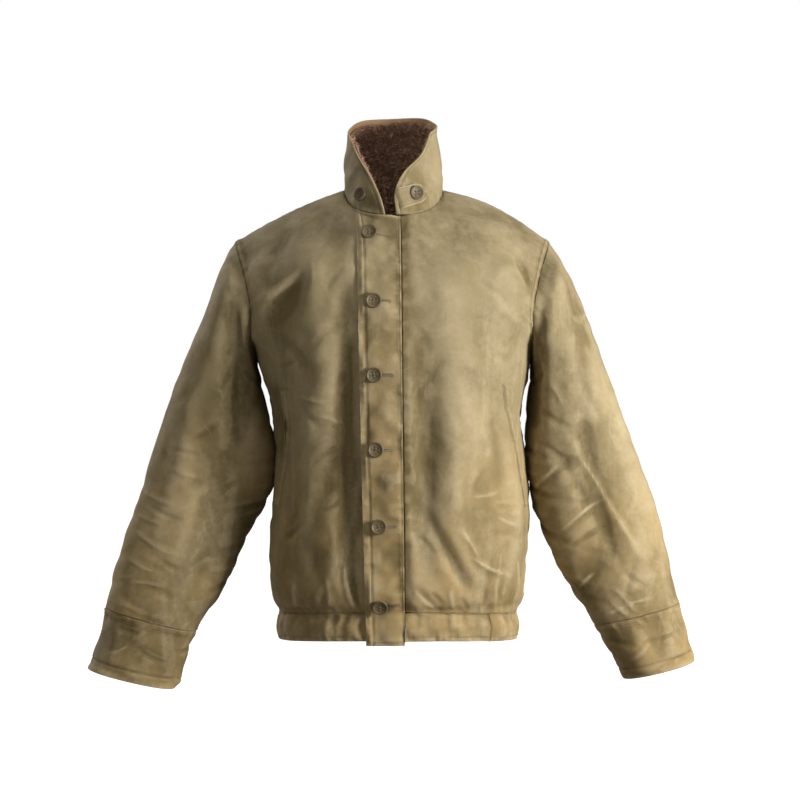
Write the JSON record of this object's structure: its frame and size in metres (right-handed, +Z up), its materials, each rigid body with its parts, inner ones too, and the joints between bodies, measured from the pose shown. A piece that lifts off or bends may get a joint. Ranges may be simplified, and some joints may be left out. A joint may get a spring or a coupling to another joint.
{
  "type": "waxed field jacket",
  "caption": "Short buttoned work jacket in waxed cotton with a pile-lined stand collar, throat tab, slanted welt pockets, hem band and turned cuffs, filled out with no wearer",
  "frame": {"origin": "in the neck opening, midway between the points where the shoulder seams meet the collar seam and level with them", "axes": "+Z up, the front faces -Y, the wearer's left is +X"},
  "size_m": [0.8389, 0.2728, 0.8032],
  "materials": {
    "shell_cloth": "worn waxed cotton, dull sheen",
    "pile": "short wool pile",
    "button": "satin"
  },
  "bodies": {
    "root": {"front_left": "shell_cloth", "front_right": "shell_cloth", "back": "shell_cloth", "hem_band_left_front": "shell_cloth", "hem_band_left_side": "shell_cloth", "hem_band_right": "shell_cloth", "hem_band_back": "shell_cloth", "sleeve_left": "shell_cloth", "sleeve_right": "shell_cloth", "cuff_left": "shell_cloth", "cuff_right": "shell_cloth", "collar": "shell_cloth", "collar_lining": "pile", "placket": "shell_cloth", "pocket_welt_left": "shell_cloth", "pocket_welt_right": "shell_cloth", "throat_tab": "shell_cloth", "button_1": "button", "button_2": "button", "button_3": "button", "button_4": "button", "button_5": "button", "button_6": "button", "button_collar_left": "button", "button_collar_right": "button"}
  },
  "joints": []
}
